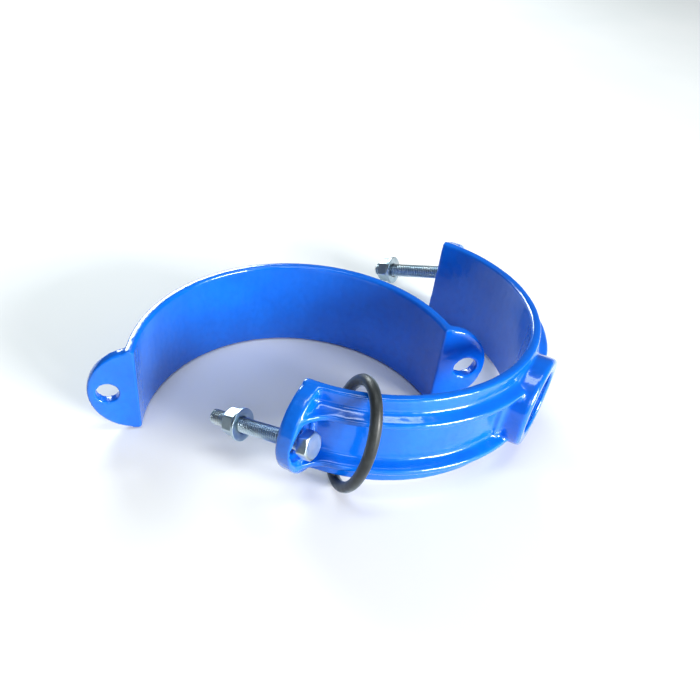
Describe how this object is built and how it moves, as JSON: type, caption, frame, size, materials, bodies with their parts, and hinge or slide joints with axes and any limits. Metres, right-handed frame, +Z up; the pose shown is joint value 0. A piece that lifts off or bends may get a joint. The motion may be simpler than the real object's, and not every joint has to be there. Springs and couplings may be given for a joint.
{
  "type": "pipe saddle clamp",
  "caption": "Pipe saddle clamp taken apart: ribbed half band with a threaded outlet collar, plain strap half, hex bolts with washers and nuts, and an O-ring.",
  "frame": {"origin": "under the middle of the laid-out pieces, on the floor they stand on", "axes": "+Z up along the standing pipe bores, +X the way the saddle's outlet points"},
  "size_m": [0.1962, 0.227, 0.0654],
  "materials": {
    "blue_epoxy": "glossy fusion-bonded epoxy on ductile iron, slight orange peel",
    "zinc_plate": "bright zinc plate with a faint blue-green passivation tint",
    "black_rubber": "satin moulded rubber"
  },
  "bodies": {
    "saddle": {"saddle": "blue_epoxy"},
    "strap": {"strap": "blue_epoxy"},
    "bolt_near": {"hex_bolt_near": "zinc_plate"},
    "bolt_far": {"hex_bolt_far": "zinc_plate"},
    "washer_near": {"washer_near": "zinc_plate"},
    "washer_far": {"washer_far": "zinc_plate"},
    "nut_near": {"hex_nut_near": "zinc_plate"},
    "nut_far": {"hex_nut_far": "zinc_plate"},
    "o_ring": {"o_ring": "black_rubber"}
  },
  "joints": [
    {"name": "strap_away", "type": "slide", "parent": "saddle", "child": "strap", "axis": [-1, 0, 0], "range_m": [0, 0.15]},
    {"name": "ring_along_band", "type": "hinge", "parent": "saddle", "child": "o_ring", "pos_m": [0.00327, 0.00674, 0.00365], "axis": [0, 0.0436, 0.999], "range_deg": [-8, 30]},
    {"name": "bolt_near_float", "type": "slide", "parent": "saddle", "child": "bolt_near", "axis": [0.9714, -0.0424, 0.2334], "range_m": [0, 0.009]},
    {"name": "washer_near_travel", "type": "slide", "parent": "bolt_near", "child": "washer_near", "axis": [0.9714, -0.0424, 0.2334], "range_m": [-0.01, 0.0135]},
    {"name": "nut_near_spin", "type": "hinge", "parent": "washer_near", "child": "nut_near", "pos_m": [0.01878, -0.08769, 0.03474], "axis": [0.9714, -0.0424, 0.2334], "range_deg": [-2879, 3887]},
    {"name": "bolt_far_float", "type": "slide", "parent": "saddle", "child": "bolt_far", "axis": [0.9588, 0.0033, 0.284], "range_m": [0, 0.009]},
    {"name": "washer_far_travel", "type": "slide", "parent": "bolt_far", "child": "washer_far", "axis": [0.9588, 0.0033, 0.284], "range_m": [-0.0032, 0.0215]},
    {"name": "nut_far_spin", "type": "hinge", "parent": "washer_far", "child": "nut_far", "pos_m": [0.01699, 0.1029, 0.02711], "axis": [0.9588, 0.0033, 0.284], "range_deg": [-920.6, 6191]}
  ],
  "couplings": [
    {"joint": "washer_near_travel", "follows": "nut_near_spin", "m_per_rad": 0.00019894},
    {"joint": "washer_far_travel", "follows": "nut_far_spin", "m_per_rad": 0.00019894}
  ]
}
